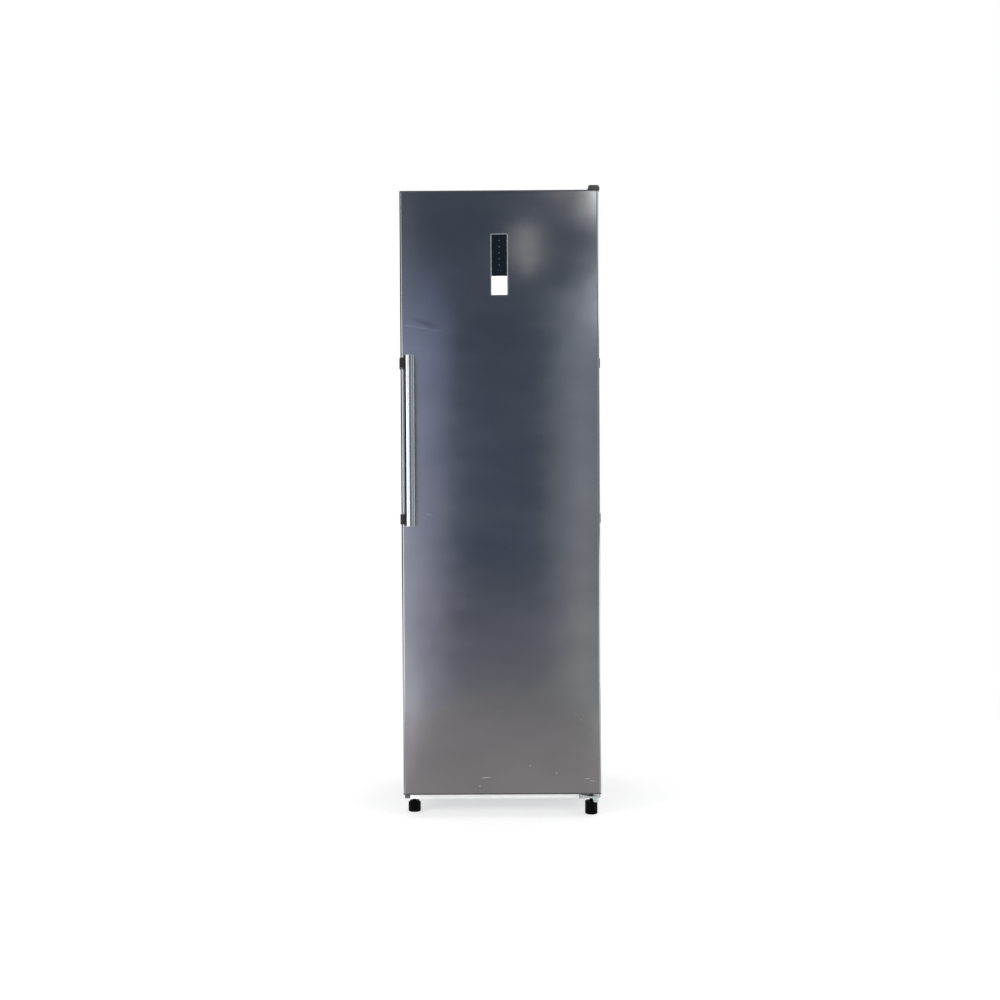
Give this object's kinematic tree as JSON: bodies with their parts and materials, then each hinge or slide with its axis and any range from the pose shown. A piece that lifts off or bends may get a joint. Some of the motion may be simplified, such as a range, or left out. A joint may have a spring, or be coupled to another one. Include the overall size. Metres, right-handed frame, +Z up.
{
  "type": "upright freezer",
  "caption": "Tall free-standing freezer with one full-height metal door, bar handle, door control panel, inner drawers and flaps.",
  "frame": {"origin": "middle of the bounding box on the floor", "axes": "+Z up, the door faces -Y, the door's hinges are on the +X side"},
  "size_m": [0.6044, 0.711, 1.905],
  "materials": {
    "painted_steel_grey": "satin",
    "painted_steel_white": "satin",
    "galvanised_steel": "satin",
    "stainless_door": "satin",
    "chrome": "polished",
    "black_plastic": "matte",
    "dark_grey_plastic": "matte",
    "white_plastic": "satin",
    "clear_plastic": "gloss",
    "shelf_glass": "gloss",
    "dark_glass": "gloss",
    "display_white": "gloss",
    "insulating_foam": "matte",
    "gasket_rubber": "matte",
    "black_rubber": "matte",
    "copper": "satin",
    "black_steel": "gloss",
    "zinc_steel": "satin",
    "aluminium_fin": "satin",
    "circuit_board": "satin"
  },
  "bodies": {
    "cabinet": {"left_side_panel": "painted_steel_grey", "right_side_panel": "painted_steel_grey", "top_panel": "painted_steel_grey", "rear_panel": "galvanised_steel", "base_pan": "galvanised_steel", "front_rail": "painted_steel_white", "cabinet_foam": "insulating_foam", "inner_liner": "white_plastic", "shelf_runners": "white_plastic", "glass_shelves": "shelf_glass", "shelf_trims": "white_plastic", "evaporator_cover": "white_plastic", "evaporator_coil": "aluminium_fin", "defrost_heater": "zinc_steel", "fan_shroud": "black_plastic", "fan_motor": "black_plastic", "interior_light": "display_white", "compressor_base": "galvanised_steel", "compressor": "black_steel", "compressor_relay_cover": "black_plastic", "compressor_grommets": "black_rubber", "evaporating_tray": "black_plastic", "filter_drier": "copper", "refrigerant_pipes": "copper", "control_box": "white_plastic", "mains_inlet": "black_plastic", "condenser_coil": "black_steel", "condenser_wires": "black_steel", "condenser_clips": "white_plastic", "top_hinge_bracket": "zinc_steel", "top_hinge_cover": "dark_grey_plastic", "bottom_hinge_bracket": "zinc_steel", "hinge_screws": "zinc_steel", "roller_brackets": "galvanised_steel"},
    "door": {"door_skin": "stainless_door", "door_top_cap": "dark_grey_plastic", "door_bottom_cap": "dark_grey_plastic", "door_foam": "insulating_foam", "door_liner": "white_plastic", "door_gasket": "gasket_rubber", "handle_bar": "chrome", "handle_brackets": "black_plastic", "handle_screws": "zinc_steel", "side_hole_plugs": "dark_grey_plastic", "panel_bezel": "chrome", "panel_glass": "dark_glass", "display_window": "display_white", "control_board": "circuit_board"},
    "drawer_1": {"drawer_1": "clear_plastic"},
    "drawer_2": {"drawer_2": "clear_plastic"},
    "drawer_3": {"drawer_3": "clear_plastic"},
    "drawer_4": {"drawer_4": "clear_plastic"},
    "drawer_5": {"drawer_5": "clear_plastic"},
    "flap_1": {"flap_1": "clear_plastic"},
    "flap_2": {"flap_2": "clear_plastic"},
    "front_left_foot": {"front_left_foot": "black_plastic"},
    "front_right_foot": {"front_right_foot": "black_plastic"},
    "rear_left_roller": {"rear_left_roller": "black_plastic"},
    "rear_right_roller": {"rear_right_roller": "black_plastic"},
    "evaporator_fan": {"evaporator_fan": "white_plastic"}
  },
  "joints": [
    {"name": "door_hinge", "type": "hinge", "parent": "cabinet", "child": "door", "pos_m": [0.285, -0.2645, 0.98], "axis": [0, 0, 1], "range_deg": [0, 130]},
    {"name": "drawer_1_slide", "type": "slide", "parent": "cabinet", "child": "drawer_1", "axis": [0, -1, 0], "range_m": [0, 0.3]},
    {"name": "drawer_2_slide", "type": "slide", "parent": "cabinet", "child": "drawer_2", "axis": [0, -1, 0], "range_m": [0, 0.3]},
    {"name": "drawer_3_slide", "type": "slide", "parent": "cabinet", "child": "drawer_3", "axis": [0, -1, 0], "range_m": [0, 0.3]},
    {"name": "drawer_4_slide", "type": "slide", "parent": "cabinet", "child": "drawer_4", "axis": [0, -1, 0], "range_m": [0, 0.3]},
    {"name": "drawer_5_slide", "type": "slide", "parent": "cabinet", "child": "drawer_5", "axis": [0, -1, 0], "range_m": [0, 0.3]},
    {"name": "flap_1_hinge", "type": "hinge", "parent": "cabinet", "child": "flap_1", "pos_m": [0, -0.1755, 1.55], "axis": [-1, 0, 0], "range_deg": [0, 85]},
    {"name": "flap_2_hinge", "type": "hinge", "parent": "cabinet", "child": "flap_2", "pos_m": [0, -0.1755, 1.81], "axis": [-1, 0, 0], "range_deg": [0, 85]},
    {"name": "front_left_foot_screw", "type": "slide", "parent": "cabinet", "child": "front_left_foot", "axis": [0, 0, -1], "range_m": [-0.005, 0.012]},
    {"name": "front_right_foot_screw", "type": "slide", "parent": "cabinet", "child": "front_right_foot", "axis": [0, 0, -1], "range_m": [-0.005, 0.012]},
    {"name": "rear_left_roller_axle", "type": "hinge", "parent": "cabinet", "child": "rear_left_roller", "pos_m": [-0.242, 0.2685, 0.02], "axis": [1, 0, 0], "continuous": true},
    {"name": "rear_right_roller_axle", "type": "hinge", "parent": "cabinet", "child": "rear_right_roller", "pos_m": [0.242, 0.2685, 0.02], "axis": [1, 0, 0], "continuous": true},
    {"name": "evaporator_fan_shaft", "type": "hinge", "parent": "cabinet", "child": "evaporator_fan", "pos_m": [0, 0.2335, 0.729], "axis": [0, -1, 0], "continuous": true}
  ],
  "couplings": [
    {"joint": "drawer_1_slide", "follows": "door_hinge", "m_per_rad": 0.078},
    {"joint": "drawer_2_slide", "follows": "door_hinge", "m_per_rad": 0.074},
    {"joint": "drawer_3_slide", "follows": "door_hinge", "m_per_rad": 0.068},
    {"joint": "drawer_4_slide", "follows": "door_hinge", "m_per_rad": 0.062},
    {"joint": "drawer_5_slide", "follows": "door_hinge", "m_per_rad": 0.056},
    {"joint": "flap_1_hinge", "follows": "door_hinge", "ratio": 0.34},
    {"joint": "flap_2_hinge", "follows": "door_hinge", "ratio": 0.28}
  ]
}
